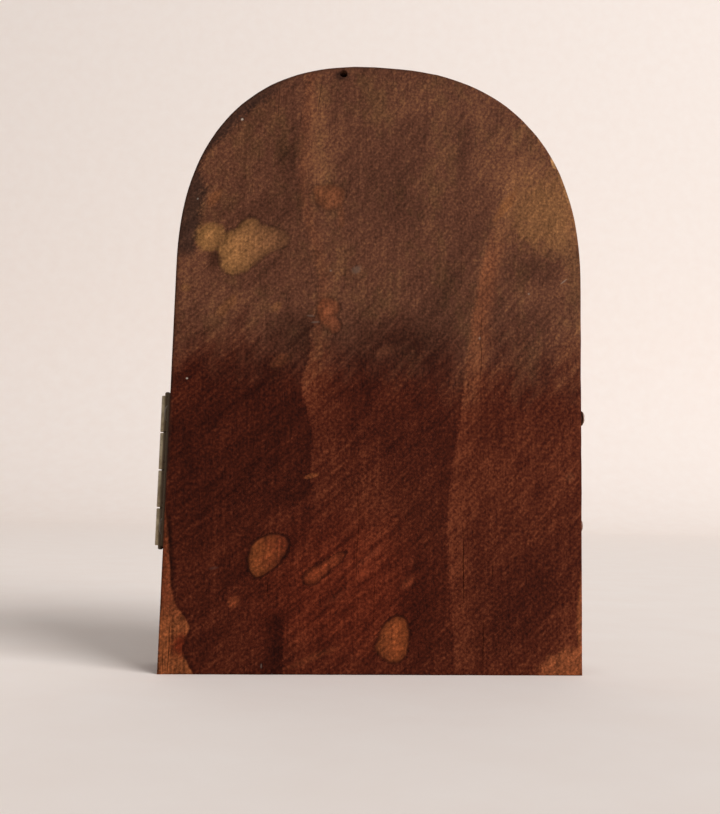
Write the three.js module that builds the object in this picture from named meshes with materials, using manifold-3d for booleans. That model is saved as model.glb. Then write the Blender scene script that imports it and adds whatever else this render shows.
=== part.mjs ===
// A small arched wooden triptych: a centre panel and two half-arch wings on side hinges.
// Millimetres, +Z up. The closed wings cover the front of the centre panel, which faces -Y.
// The origin lies on the floor under the middle of the closed triptych.
import * as THREE from 'three';
import { mergeVertices } from 'three/addons/utils/BufferGeometryUtils.js';
import Module from 'manifold-3d';

const wasm = await Module();
wasm.setup();

// Arched outline of the centre panel, which the two closed wings share
const PANEL_WIDTH = 80;
const SIDE_HEIGHT = 75; // straight side, from the floor to the springing of the arch
const ARCH_RISE = 44;
const ARCH_FULLNESS = 2.4; // 2 gives an ellipse, more gives fuller shoulders

// Boards
const PANEL_THICKNESS = 7;
const WING_THICKNESS = 6.5;
const ARRIS = 0.35; // chamfer along every edge of a board
const SEAM_GAP = 0.4; // between the panel and the closed wings
const MEETING_GAP = 0.6; // between the two wings

// Nail hole in the back, beside the crown
const NAIL_HOLE_RADIUS = 0.6;
const NAIL_HOLE_DEPTH = 4;
const NAIL_HOLE_ASIDE = 8.9; // from the middle of the panel
const NAIL_HOLE_MARGIN = 1.5; // below the edge of the arch

// Pictures, let into recesses and held by gilded slips
const PANEL_BORDER = 6.5; // wood left bare round the recess of the centre panel
const WING_BORDER = 5;
const PICTURE_THICKNESS = 0.6;
const PICTURE_FIT = 0.2; // play round a picture and its slip in the recess
const SLIP_WIDTH = 2;
const SLIP_THICKNESS = 0.9;
const SLIP_CHAMFER = 0.3;
const SLIP_SETBACK = 0.3; // from the face of the board down to the slip
const GLUE_LINE = 0.05;

// Cross on the centre picture
const CROSS_BAR = 6;
const CROSS_THICKNESS = 0.7;
const CROSS_CHAMFER = 0.2;
const CROSS_HEADROOM = 18; // from the slip down to the top of the cross
const CROSS_FOOTROOM = 14; // from the slip up to the foot of the cross
const CROSS_SIDEROOM = 14; // from the slip to the end of an arm
const CROSS_ARM_DROP = 17; // from the top of the cross to the middle of the arms

// Hinges
const HINGE_LENGTH = 28.8;
const RIGHT_HINGE_HEIGHT = 37.3; // middle of the hinge above the floor
const LEFT_HINGE_HEIGHT = 39.1;
const KNUCKLES = 4;
const KNUCKLE_GAP = 0.25;
const LEAF_THICKNESS = 0.5;
const LEAF_SEAT = 0.05; // between a leaf and its board, and between a screw head and its leaf
const LEAF_EDGE = 1.2; // wood left bare beyond a leaf on the thinner board
const CURL_SEAM = 0.08; // where the end of a rolled knuckle meets its leaf
const PIN_RADIUS = 0.5;
const PIN_CLEARANCE = 0.08;
const PIN_OVERHANG = 0.8;
const PIN_CHAMFER = 0.2;

// Hinge screws
const HEAD_RADIUS = 1.55;
const HEAD_HEIGHT = 0.6;
const SHANK_RADIUS = 0.7;
const SCREW_LENGTH = 5; // under the head
const SCREW_POINT = 1.6;
const SCREW_CLEARANCE = 0.12;
const SLOT_WIDTH = 0.45;
const SLOT_DEPTH = 0.35;
const SCREW_ROW = 1.75; // from the outer edge of a leaf
const SCREW_END = 3.7; // from the end of a panel leaf
const STAGGER_GAP = 1; // lets the heads pass one another when a wing lies fully open
const PROUD_LIFT = 0.45; // one screw is not driven home

// Where the boards and the hinge axes lie
const HALF_WIDTH = PANEL_WIDTH / 2;
const BACK = (PANEL_THICKNESS + SEAM_GAP + WING_THICKNESS) / 2;
const PANEL_FRONT = BACK - PANEL_THICKNESS;
const WING_BACK = PANEL_FRONT - SEAM_GAP;
const RECESS = SLIP_SETBACK + SLIP_THICKNESS + PICTURE_THICKNESS + 2 * GLUE_LINE;
const BORE_RADIUS = PIN_RADIUS + PIN_CLEARANCE;
const BARREL_RADIUS = BORE_RADIUS + LEAF_THICKNESS;
const AXIS_X = HALF_WIDTH + LEAF_SEAT + BARREL_RADIUS;
const AXIS_Y = PANEL_FRONT - SEAM_GAP / 2;
const HEAD_SEAT = HALF_WIDTH + LEAF_THICKNESS + 2 * LEAF_SEAT;
const LEAF_REACH = SEAM_GAP / 2 + Math.min(PANEL_THICKNESS, WING_THICKNESS) - LEAF_EDGE;

const wood = new THREE.MeshStandardMaterial({ color: 0x5b2d20, roughness: 0.7, metalness: 0 });
const painted = new THREE.MeshStandardMaterial({ color: 0xc29a4a, roughness: 0.5, metalness: 0.2 });
const gilt = new THREE.MeshStandardMaterial({ color: 0xb8862f, roughness: 0.4, metalness: 0.7 });
const red = new THREE.MeshStandardMaterial({ color: 0x7c2018, roughness: 0.55, metalness: 0 });
const brass = new THREE.MeshStandardMaterial({ color: 0x9c8d68, roughness: 0.45, metalness: 0.9 });

function solid(geometry) {
  const bare = geometry.clone();
  bare.deleteAttribute('normal');
  bare.deleteAttribute('uv');
  const welded = mergeVertices(bare, 1e-5);
  const corners = [];
  for (let i = 0; i < welded.index.count; i += 3) {
    const [a, b, c] = welded.index.array.slice(i, i + 3);
    if (a !== b && b !== c && c !== a) {
      corners.push(a, b, c);
    }
  }
  const vertProperties = new Float32Array(welded.attributes.position.array);
  const triVerts = new Uint32Array(corners);
  return new wasm.Manifold(new wasm.Mesh({ numProp: 3, vertProperties, triVerts }));
}

function geometryOf(body) {
  const surface = body.getMesh();
  const geometry = new THREE.BufferGeometry();
  geometry.setAttribute('position', new THREE.BufferAttribute(surface.vertProperties, 3));
  geometry.setIndex(new THREE.BufferAttribute(surface.triVerts, 1));
  geometry.computeVertexNormals();
  return geometry;
}

function cut(geometry, tools) {
  return geometryOf(tools.reduce((rest, tool) => rest.subtract(solid(tool)), solid(geometry)));
}

function join(geometries) {
  return geometryOf(geometries.map(solid).reduce((whole, body) => whole.add(body)));
}

function piece(name, geometry, material) {
  const mesh = new THREE.Mesh(geometry, material);
  mesh.name = name;
  return mesh;
}

// One side of the arched outline, from its foot up to where it meets x = inner
function halfArch(inner, outer, foot, rise) {
  const steps = 24;
  const end = Math.acos((inner / outer) ** (ARCH_FULLNESS / 2));
  const points = [new THREE.Vector2(outer, foot)];
  for (let i = 0; i <= steps; i++) {
    const turn = (end * i) / steps;
    const x = outer * Math.cos(turn) ** (2 / ARCH_FULLNESS);
    const z = SIDE_HEIGHT + rise * Math.sin(turn) ** (2 / ARCH_FULLNESS);
    points.push(new THREE.Vector2(x, z));
  }
  return points;
}

function mirrored(points) {
  return points.map((point) => new THREE.Vector2(-point.x, point.y)).reverse();
}

function panelOutline(inset) {
  const right = halfArch(0, HALF_WIDTH - inset, inset, ARCH_RISE - inset);
  return [...right, ...mirrored(right.slice(0, -1))];
}

function wingOutline(side, inset) {
  const inner = MEETING_GAP / 2 + inset;
  const points = halfArch(inner, HALF_WIDTH - inset, inset, ARCH_RISE - inset);
  points.push(new THREE.Vector2(inner, inset));
  return side > 0 ? points : mirrored(points);
}

// An upright slab of an outline between y = front and y = back, with chamfered edges
function slab(outline, front, back, chamfer = 0, opening = []) {
  const shape = new THREE.Shape(outline);
  if (opening.length > 0) {
    shape.holes.push(new THREE.Path(opening));
  }
  const geometry = new THREE.ExtrudeGeometry(shape, {
    depth: back - front - 2 * chamfer,
    bevelEnabled: chamfer > 0,
    bevelThickness: chamfer,
    bevelSize: chamfer,
    bevelOffset: -chamfer,
    bevelSegments: 1,
  });
  geometry.rotateX(Math.PI / 2);
  return geometry.translate(0, back - chamfer, 0);
}

// Where the two screws of a leaf sit; the wing's pair lies inside the panel's pair
function screwPlaces(side, ahead) {
  const middle = side > 0 ? RIGHT_HINGE_HEIGHT : LEFT_HINGE_HEIGHT;
  const stagger = ahead > 0 ? 0 : 2 * HEAD_RADIUS + STAGGER_GAP;
  const reach = HINGE_LENGTH / 2 - SCREW_END - stagger;
  const y = AXIS_Y + ahead * (LEAF_REACH - SCREW_ROW);
  return { upper: { y, z: middle + reach }, lower: { y, z: middle - reach } };
}

// Rods along X that open the screw holes through a leaf and into its board
function screwHoles(side, ahead) {
  const length = SCREW_LENGTH + SCREW_CLEARANCE + PROUD_LIFT;
  const middle = HEAD_SEAT + PROUD_LIFT - length / 2;
  const radius = SHANK_RADIUS + SCREW_CLEARANCE;
  const sides = 12;
  return Object.values(screwPlaces(side, ahead)).map(({ y, z }) => {
    const rod = new THREE.CylinderGeometry(radius, radius, length, sides);
    return rod.rotateZ(Math.PI / 2).translate(side * middle, y, z);
  });
}

function centrePanel() {
  const recess = slab(panelOutline(PANEL_BORDER), PANEL_FRONT - RECESS, PANEL_FRONT + RECESS);
  const share = 1 - (NAIL_HOLE_ASIDE / HALF_WIDTH) ** ARCH_FULLNESS;
  const edge = SIDE_HEIGHT + ARCH_RISE * share ** (1 / ARCH_FULLNESS);
  const sides = 16;
  const nailHole = new THREE.CylinderGeometry(NAIL_HOLE_RADIUS, NAIL_HOLE_RADIUS, 2 * NAIL_HOLE_DEPTH, sides);
  nailHole.translate(NAIL_HOLE_ASIDE, BACK, edge - NAIL_HOLE_MARGIN);
  const board = slab(panelOutline(0), PANEL_FRONT, BACK, ARRIS);
  return cut(board, [recess, nailHole, ...screwHoles(1, 1), ...screwHoles(-1, 1)]);
}

function wingBoard(side) {
  const front = WING_BACK - WING_THICKNESS;
  const recess = slab(wingOutline(side, WING_BORDER), WING_BACK - RECESS, WING_BACK + RECESS);
  return cut(slab(wingOutline(side, 0), front, WING_BACK, ARRIS), [recess, ...screwHoles(side, -1)]);
}

// A picture on the floor of a recess; the board faces -Y when facing is -1
function pictureSlab(outline, face, facing) {
  const floor = face - facing * (RECESS - GLUE_LINE);
  const top = floor + facing * PICTURE_THICKNESS;
  return slab(outline, Math.min(floor, top), Math.max(floor, top));
}

function slipRing(outline, opening, face, facing) {
  const top = face - facing * SLIP_SETBACK;
  const bottom = top - facing * SLIP_THICKNESS;
  return slab(outline, Math.min(top, bottom), Math.max(top, bottom), SLIP_CHAMFER, opening);
}

function cross() {
  const inset = PANEL_BORDER + PICTURE_FIT + SLIP_WIDTH;
  const bar = CROSS_BAR / 2;
  const arm = HALF_WIDTH - inset - CROSS_SIDEROOM;
  const top = SIDE_HEIGHT + ARCH_RISE - inset - CROSS_HEADROOM;
  const foot = inset + CROSS_FOOTROOM;
  const armMiddle = top - CROSS_ARM_DROP;
  const right = [[bar, foot], [bar, armMiddle - bar], [arm, armMiddle - bar]];
  right.push([arm, armMiddle + bar], [bar, armMiddle + bar], [bar, top]);
  const points = right.map(([x, z]) => new THREE.Vector2(x, z));
  const outline = [...points, ...mirrored(points)];
  const back = PANEL_FRONT + SLIP_SETBACK + SLIP_THICKNESS;
  return slab(outline, back - CROSS_THICKNESS, back, CROSS_CHAMFER);
}

// A hinge leaf: a plate on the side of a board, with every second knuckle rolled round the pin.
// In its section, u points from the pin to the wood and v from the pin along the plate.
function hingeLeaf(side, ahead) {
  const middle = side > 0 ? RIGHT_HINGE_HEIGHT : LEFT_HINGE_HEIGHT;
  const bottom = middle - HINGE_LENGTH / 2;
  const place = (u, v) => new THREE.Vector2(side * (AXIS_X - u), AXIS_Y + ahead * v);
  const bar = (points, from, length) => {
    const shape = new THREE.Shape(points);
    const geometry = new THREE.ExtrudeGeometry(shape, { depth: length, bevelEnabled: false });
    return geometry.translate(0, 0, from);
  };
  const plate = (foot) => [
    place(BARREL_RADIUS, foot),
    place(BARREL_RADIUS, LEAF_REACH),
    place(BORE_RADIUS, LEAF_REACH),
    place(BORE_RADIUS, foot),
  ];
  const wrap = 2 * Math.PI - Math.acos((BORE_RADIUS - CURL_SEAM) / BARREL_RADIUS);
  const steps = 16;
  const outside = [];
  const inside = [];
  for (let i = 0; i <= steps; i++) {
    const turn = (-wrap * i) / steps;
    outside.push(place(BARREL_RADIUS * Math.cos(turn), BARREL_RADIUS * Math.sin(turn)));
    inside.unshift(place(BORE_RADIUS * Math.cos(turn), BORE_RADIUS * Math.sin(turn)));
  }
  const [, wallEnd, faceEnd] = plate(0);
  const rolled = [wallEnd, ...outside, ...inside, faceEnd];
  const pitch = (HINGE_LENGTH + KNUCKLE_GAP) / KNUCKLES;
  const bars = [bar(plate(BARREL_RADIUS + KNUCKLE_GAP), bottom, HINGE_LENGTH)];
  for (let i = ahead > 0 ? 1 : 0; i < KNUCKLES; i += 2) {
    bars.push(bar(rolled, bottom + i * pitch, pitch - KNUCKLE_GAP));
  }
  return cut(join(bars), screwHoles(side, ahead));
}

function hingePin(side) {
  const middle = side > 0 ? RIGHT_HINGE_HEIGHT : LEFT_HINGE_HEIGHT;
  const half = HINGE_LENGTH / 2 + PIN_OVERHANG;
  const profile = [[0, -half], [PIN_RADIUS - PIN_CHAMFER, -half], [PIN_RADIUS, PIN_CHAMFER - half]];
  profile.push([PIN_RADIUS, half - PIN_CHAMFER], [PIN_RADIUS - PIN_CHAMFER, half], [0, half]);
  const points = profile.map(([r, z]) => new THREE.Vector2(r, z));
  const sides = 16;
  const rod = new THREE.LatheGeometry(points, sides).rotateX(Math.PI / 2);
  return rod.translate(side * AXIS_X, AXIS_Y, middle);
}

// A round-headed slotted screw, driven in from the side
function screw(side, { y, z }, slotTurn, lift) {
  const profile = [[0, -SCREW_LENGTH], [SHANK_RADIUS, SCREW_POINT - SCREW_LENGTH], [SHANK_RADIUS, 0]];
  const domeSteps = 4;
  for (let i = 0; i <= domeSteps; i++) {
    const turn = (Math.PI / 2) * (i / domeSteps);
    profile.push([HEAD_RADIUS * Math.cos(turn), HEAD_HEIGHT * Math.sin(turn)]);
  }
  const points = profile.map(([r, h]) => new THREE.Vector2(r, h));
  const slot = new THREE.BoxGeometry(3 * HEAD_RADIUS, 2 * SLOT_DEPTH, SLOT_WIDTH);
  slot.rotateY(slotTurn).translate(0, HEAD_HEIGHT, 0);
  const sides = 16;
  const geometry = cut(new THREE.LatheGeometry(points, sides), [slot]);
  geometry.rotateZ((-side * Math.PI) / 2);
  return geometry.translate(side * (HEAD_SEAT + lift), y, z);
}

// The two screws of a leaf, their slots left at whatever turn each stopped at
function screws(side, ahead, label) {
  const firstTurn = 0.7;
  const nextTurn = 2.4;
  return Object.entries(screwPlaces(side, ahead)).map(([end, place], i) => {
    const proud = side < 0 && ahead > 0 && end === 'upper';
    const slotTurn = proud ? 0 : firstTurn + nextTurn * i + side;
    return piece(`${label}_screw_${end}`, screw(side, place, slotTurn, proud ? PROUD_LIFT : 0), brass);
  });
}

function centre() {
  const group = new THREE.Group();
  group.name = 'centre';
  const outer = panelOutline(PANEL_BORDER + PICTURE_FIT);
  const opening = panelOutline(PANEL_BORDER + PICTURE_FIT + SLIP_WIDTH);
  group.add(piece('centre_panel', centrePanel(), wood));
  group.add(piece('centre_picture', pictureSlab(outer, PANEL_FRONT, -1), painted));
  group.add(piece('centre_slip', slipRing(outer, opening, PANEL_FRONT, -1), gilt));
  group.add(piece('centre_cross', cross(), red));
  for (const [side, hand] of [[-1, 'left'], [1, 'right']]) {
    group.add(piece(`${hand}_panel_leaf`, hingeLeaf(side, 1), brass));
    group.add(piece(`${hand}_hinge_pin`, hingePin(side), brass));
    group.add(...screws(side, 1, `${hand}_panel_leaf`));
  }
  return group;
}

// A wing turns about its hinge pin, so its group stands on the pin's axis
function wing(side, hand) {
  const group = new THREE.Group();
  group.name = `${hand}_wing`;
  group.position.set(side * AXIS_X, AXIS_Y, 0);
  const outer = wingOutline(side, WING_BORDER + PICTURE_FIT);
  const opening = wingOutline(side, WING_BORDER + PICTURE_FIT + SLIP_WIDTH);
  group.add(piece(`${hand}_wing_board`, wingBoard(side), wood));
  group.add(piece(`${hand}_wing_picture`, pictureSlab(outer, WING_BACK, 1), painted));
  group.add(piece(`${hand}_wing_slip`, slipRing(outer, opening, WING_BACK, 1), gilt));
  group.add(piece(`${hand}_wing_leaf`, hingeLeaf(side, -1), brass));
  group.add(...screws(side, -1, `${hand}_wing_leaf`));
  group.children.forEach((child) => child.position.set(-side * AXIS_X, -AXIS_Y, 0));
  return group;
}

const triptych = new THREE.Group();
triptych.name = 'triptych';
triptych.add(centre(), wing(-1, 'left'), wing(1, 'right'));

export default triptych;
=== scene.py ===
import math

import bmesh
import bpy
from mathutils import Matrix, Vector, noise


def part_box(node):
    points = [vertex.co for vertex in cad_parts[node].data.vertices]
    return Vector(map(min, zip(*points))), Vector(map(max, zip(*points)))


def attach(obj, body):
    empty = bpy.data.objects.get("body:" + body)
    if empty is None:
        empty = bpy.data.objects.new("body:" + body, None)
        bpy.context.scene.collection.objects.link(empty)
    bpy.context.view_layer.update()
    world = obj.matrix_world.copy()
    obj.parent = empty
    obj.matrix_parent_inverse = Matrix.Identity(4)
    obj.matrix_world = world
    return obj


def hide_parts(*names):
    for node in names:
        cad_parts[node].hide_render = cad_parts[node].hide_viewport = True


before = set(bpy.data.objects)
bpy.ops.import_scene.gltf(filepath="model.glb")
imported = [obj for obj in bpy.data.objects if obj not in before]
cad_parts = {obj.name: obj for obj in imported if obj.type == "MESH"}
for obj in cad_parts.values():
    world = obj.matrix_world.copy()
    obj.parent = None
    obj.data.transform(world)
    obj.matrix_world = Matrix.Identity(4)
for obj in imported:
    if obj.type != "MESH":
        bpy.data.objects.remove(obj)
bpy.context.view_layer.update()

# Centre panel
# A board of plain wood sawn to a round arch, its edges eased by hand and its front cut away for a picture.
# A nail was once driven into the back beside the crown, and the board has begun to split along the grain.
MM = 0.001
SPRING = 75 * MM  # where the straight sides end and the arch begins
FULLNESS = 2.4  # of the arch: 2 would be an ellipse
EDGE_EASE = 0.34 * MM
RECESS_EASE = 0.12 * MM
EASE_STEPS = 4
FACE_INSETS = 3 * MM, 1.4 * MM  # where loops run round a face, in from its edge
SMOOTH_BELOW = math.radians(38)  # faces that meet at less than this look like one
PICTURE_PLAY = 0.2 * MM
GLUE = 0.05 * MM
NAIL_PROUD = 0.3 * MM  # how far the path of the nail starts outside the back
NAIL_PLACE = Vector((8.9, 0, 117)) * MM
NAIL_RADIUS = 0.6 * MM
NAIL_DEPTH = 3.6 * MM
NAIL_LEAN = 0.5 * MM
NAIL_STEPS = 6
NAIL_SIDES = 20
SPLIT_DEPTH = 0.5 * MM
SPLIT_PROUD = 0.2 * MM
SPLIT_WANDER = 0.4 * MM
SPLIT_TIP = 0.012 * MM
SPLIT_STEPS = 16
SPLITS = [  # how far along X, foot, head and half opening, in millimetres
    (13.45, 107.5, 118.6, 0.045), (21.7, 106, 114, 0.045), (-16.55, 12.5, 28, 0.09),
    (-20.4, 1.5, 10.5, 0.07), (-19.7, 55, 73, 0.06), (0.6, 3, 24, 0.03), (38.1, -0.5, 10, 0.1),
    (39.0, -0.5, 6, 0.06), (4.05, 16, 36, 0.04), (20.55, 14, 17.2, 0.05), (-22.2, 18, 21.5, 0.05),
    (1.75, 58.2, 62.4, 0.06),
]

panel_low, panel_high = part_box("centre_panel")
picture_low, picture_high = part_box("centre_picture")
HALF = panel_high.x
CROWN = panel_high.z
BACK = panel_high.y
PANEL_BORDER = HALF - picture_high.x - PICTURE_PLAY
PANEL_RECESS = picture_high.y + GLUE - panel_low.y


def arch_side(side, inner, outer, foot, crown, y, dense):
    """One side of the arched outline, from its foot up to where it is only inner away from the middle."""
    straight = 30 * dense
    curved = 40 * dense
    points = [Vector((side * outer, y, foot + (SPRING - foot) * i / straight)) for i in range(straight)]
    end = math.acos((inner / outer) ** (FULLNESS / 2))
    for i in range(curved + 1):
        turn = end * i / curved
        x = outer * max(math.cos(turn), 0) ** (2 / FULLNESS)
        z = SPRING + (crown - SPRING) * math.sin(turn) ** (2 / FULLNESS)
        points.append(Vector((side * x, y, z)))
    return points


def panel_loop(inset, y, dense=1):
    """The panel's outline drawn in by inset, as a closed loop of points."""
    half = HALF - inset
    count = 40 * dense
    bottom = [Vector((half * (2 * i / count - 1), y, inset)) for i in range(1, count)]
    right = arch_side(1, 0, half, inset, CROWN - inset, y, dense)
    left = arch_side(-1, 0, half, inset, CROWN - inset, y, dense)
    return bottom + right + left[-2::-1]


def new_piece(name, mesh):
    """An object from a finished bmesh, smooth except at its edges."""
    bmesh.ops.recalc_face_normals(mesh, faces=mesh.faces)
    data = bpy.data.meshes.new(name)
    mesh.to_mesh(data)
    mesh.free()
    piece = bpy.data.objects.new(name, data)
    bpy.context.scene.collection.objects.link(piece)
    return smooth(piece)


def smooth(piece):
    """Shades a piece as smooth, apart from its sharp edges."""
    piece.data.polygons.foreach_set("use_smooth", [True] * len(piece.data.polygons))
    piece.data.set_sharp_from_angle(angle=SMOOTH_BELOW)
    return piece


def loft(name, loops, ring=False):
    """A closed skin over loops of equally many points; as a ring, the last loop meets the first."""
    mesh = bmesh.new()
    rows = [[mesh.verts.new(point) for point in loop] for loop in loops]
    count = len(rows[0])
    following = rows[1:] + rows[:1] if ring else rows[1:]
    for row, after in zip(rows, following):
        for i in range(count):
            j = (i + 1) % count
            mesh.faces.new((row[i], row[j], after[j], after[i]))
    if not ring:
        mesh.faces.new(rows[0])
        mesh.faces.new(rows[-1])
    return new_piece(name, mesh)


def eased_edge(outline, face, toward, ease):
    """Loops round a hand-eased edge, from the face at y = face over to the side."""
    loops = []
    for step in range(EASE_STEPS + 1):
        turn = math.pi / 2 * step / EASE_STEPS
        loop = []
        for flat, sharp in zip(outline(ease, face), outline(0, face)):
            wear = 1 + 0.55 * noise.noise(sharp * 260) + 0.35 * noise.noise(sharp * 900)
            slide = (sharp - flat) * (1 - wear * (1 - math.sin(turn)))
            sink = ease * wear * (1 - math.cos(turn))
            loop.append(flat + slide + Vector((0, toward * sink, 0)))
        loops.append(loop)
    return loops


def shrunk(loop, shares):
    """Copies of a loop drawn in towards its middle."""
    middle = sum(loop, Vector()) / len(loop)
    return [[middle.lerp(point, share) for point in loop] for share in shares]


def board(name, outline, plain, cut, border, recess):
    """A board with a plain face at y = plain and a recess sunk into its face at y = cut."""
    toward = 1 if cut > plain else -1
    floor = cut - toward * recess
    wide, narrow = FACE_INSETS
    shares = [0.08, 0.2, 0.32, 0.44, 0.56, 0.68, 0.8, 0.9]
    loops = shrunk(outline(wide, plain), shares)
    loops += [outline(wide, plain), outline(narrow, plain)]
    loops += eased_edge(outline, plain, toward, EDGE_EASE)
    loops += [outline(0, plain + (cut - plain) * share) for share in (0.3, 0.5, 0.7)]
    loops += eased_edge(outline, cut, -toward, EDGE_EASE)[::-1]
    loops += [outline(narrow, cut), outline(border - RECESS_EASE, cut)]
    loops += [outline(border, cut - toward * RECESS_EASE), outline(border, floor)]
    loops += shrunk(outline(border, floor), shares[::-1])
    return loft(name, loops)


def carve(piece, cutter):
    """Cuts one piece out of another for good."""
    knife = piece.modifiers.new("knife", "BOOLEAN")
    knife.object = cutter
    knife.operation = "DIFFERENCE"
    knife.solver = "EXACT"
    graph = bpy.context.evaluated_depsgraph_get()
    piece.data = bpy.data.meshes.new_from_object(piece.evaluated_get(graph))
    piece.modifiers.clear()
    bpy.data.objects.remove(cutter)
    smooth(piece)


def nail_path():
    """The path of the nail: a torn mouth that narrows and leans a little downwards."""
    loops = []
    for step in range(NAIL_STEPS + 1):
        along = step / NAIL_STEPS
        loop = []
        for i in range(NAIL_SIDES):
            turn = 2 * math.pi * i / NAIL_SIDES
            way = Vector((math.cos(turn), 0, math.sin(turn)))
            torn = 1 + 0.45 * (1 - along) ** 3 + 0.3 * (1 - along) * noise.noise(way * 2.5)
            sunk = Vector((0, BACK + NAIL_PROUD - NAIL_DEPTH * along, -NAIL_LEAN * along))
            loop.append(NAIL_PLACE + sunk + way * NAIL_RADIUS * torn * (1 - 0.45 * along))
        loops.append(loop)
    return loft("nail_path", loops)


def split_path(x, foot, head, opening):
    """A split along the grain: a thin wedge that wanders and closes towards both ends."""
    loops = []
    for step in range(SPLIT_STEPS + 1):
        along = step / SPLIT_STEPS
        z = foot + (head - foot) * along
        middle = x + SPLIT_WANDER * noise.noise((x * 900, 3.1, z * 160))
        half = SPLIT_TIP + opening * math.sin(math.pi * along) ** 0.7
        bottom = BACK - SPLIT_DEPTH * (0.25 + 0.75 * math.sin(math.pi * along))
        above = BACK + SPLIT_PROUD
        loops.append([Vector((middle - half, above, z)), Vector((middle + half, above, z)),
                      Vector((middle, bottom, z))])
    return loft("split_path", loops)


centre_panel = board("centre_board", panel_loop, BACK, panel_low.y, PANEL_BORDER, PANEL_RECESS)
carve(centre_panel, nail_path())
for sizes in SPLITS:
    carve(centre_panel, split_path(*[size * MM for size in sizes]))
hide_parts("centre_panel")
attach(centre_panel, "centre")


class Tone:
    """A socket in a material's nodes; sums and products of tones add Math nodes."""

    def __init__(self, tree, socket):
        self.tree = tree
        self.socket = socket

    def add(self, kind, settings, sockets, out=0):
        """Adds a node of a kind: its settings first, then the values or links of its sockets."""
        node = self.tree.nodes.new("ShaderNode" + kind)
        for name, value in settings.items():
            if name == "stops":
                node.color_ramp.interpolation = "CARDINAL"
                elements = node.color_ramp.elements
                while len(elements) < len(value):
                    elements.new(1)
                for element, (position, level) in zip(elements, value):
                    element.position = position
                    element.color = (level, level, level, level)
            else:
                setattr(node, name, value)
        for name, value in sockets.items():
            if isinstance(value, Tone):
                self.tree.links.new(value.socket, node.inputs[name])
            else:
                node.inputs[name].default_value = value
        return Tone(self.tree, node.outputs[out])

    def math(self, operation, first, second):
        return self.add("Math", {"operation": operation}, {0: first, 1: second})

    def __add__(self, other):
        return self.math("ADD", self, other)

    __radd__ = __add__

    def __sub__(self, other):
        return self.math("SUBTRACT", self, other)

    def __rsub__(self, other):
        return self.math("SUBTRACT", other, self)

    def __mul__(self, other):
        return self.math("MULTIPLY", self, other)

    __rmul__ = __mul__

    def __truediv__(self, other):
        return self.math("DIVIDE", self, other)

    def __pow__(self, other):
        return self.math("POWER", self, other)

    def __rpow__(self, other):
        return self.math("POWER", other, self)

    def __mod__(self, other):
        return self.math("FLOORED_MODULO", self, other)

    def __abs__(self):
        return self.math("ABSOLUTE", self, 0)

    def least(self, other):
        return self.math("MINIMUM", self, other)

    def most(self, other):
        return self.math("MAXIMUM", self, other)

    def fade(self, none, full, run="SMOOTHSTEP"):
        """0 at none and 1 at full, with a soft run between, or a straight one if run is LINEAR."""
        ends = {"Value": self, "From Min": none, "From Max": full}
        return self.add("MapRange", {"interpolation_type": run}, ends)

    def ramp(self, stops):
        """A level read off stops, each a place along this tone and the level there."""
        places, levels = zip(*stops)
        low = min(levels)
        rise = max(levels) - low
        run = places[-1] - places[0]
        shares = [((place - places[0]) / run, (level - low) / rise) for place, level in stops]
        share = self.fade(places[0], places[-1], "LINEAR")
        return self.add("ValToRGB", {"stops": shares}, {0: share}, "Alpha") * rise + low

    def mix(self, before, after):
        """A colour that goes from before to after as this tone goes from 0 to 1."""
        return self.add("Mix", {"data_type": "RGBA"}, {0: self, 6: before, 7: after}, 2)

    def of(self, colour):
        """A colour made lighter or darker by this tone."""
        settings = {"data_type": "RGBA", "clamp_factor": False}
        return self.add("Mix", settings, {0: self, 6: (0, 0, 0, 1), 7: colour}, 2)

    def split(self):
        node = self.add("SeparateXYZ", {}, {0: self}).socket.node
        return [Tone(self.tree, socket) for socket in node.outputs]

    def noise(self, stretch, detail=2, rough=0.5):
        """Noise over a place, with this many swings to the millimetre along each axis."""
        spread = self.add("VectorMath", {"operation": "MULTIPLY"}, {0: self, 1: stretch})
        sockets = {"Vector": spread, "Scale": 1, "Detail": detail, "Roughness": rough}
        return self.add("TexNoise", {}, sockets)

    def along(self, way):
        """How far a place lies along a way, in lengths of it."""
        return self.add("VectorMath", {"operation": "DOT_PRODUCT"}, {0: self, 1: way}, 1)

    def away(self, centre):
        """How far a place lies from a centre."""
        return self.add("VectorMath", {"operation": "DISTANCE"}, {0: self, 1: centre}, 1)


def tint(red, green, blue):
    """A colour as it reads on a screen, from 0 to 255, made linear."""
    parts = [level / 255 for level in (red, green, blue)]
    linear = [part / 12.92 if part < 0.04 else ((part + 0.055) / 1.055) ** 2.4 for part in parts]
    return (*linear, 1)


def new_finish(name):
    """An empty material: itself, its surface shader, and the place on the piece in millimetres."""
    material = bpy.data.materials.new(name)
    material.use_nodes = True
    surface = material.node_tree.nodes["Principled BSDF"]
    metres = Tone(material.node_tree, None).add("TexCoord", {}, {}, "Object")
    place = metres.add("VectorMath", {"operation": "SCALE"}, {0: metres, "Scale": 1 / MM})
    return material, surface, place


def dress(surface, colour, roughness, height, depth):
    """Gives a surface its colour, its roughness and a relief so many millimetres deep."""
    links = colour.tree.links
    relief = height.add("Bump", {}, {"Height": height, "Distance": depth * MM})
    links.new(colour.socket, surface.inputs["Base Color"])
    links.new(roughness.socket, surface.inputs["Roughness"])
    links.new(relief.socket, surface.inputs["Normal"])


SAW_CENTRE = (-247, 282, 0)  # of the round saw that left its arcs on the boards, in millimetres


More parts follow.
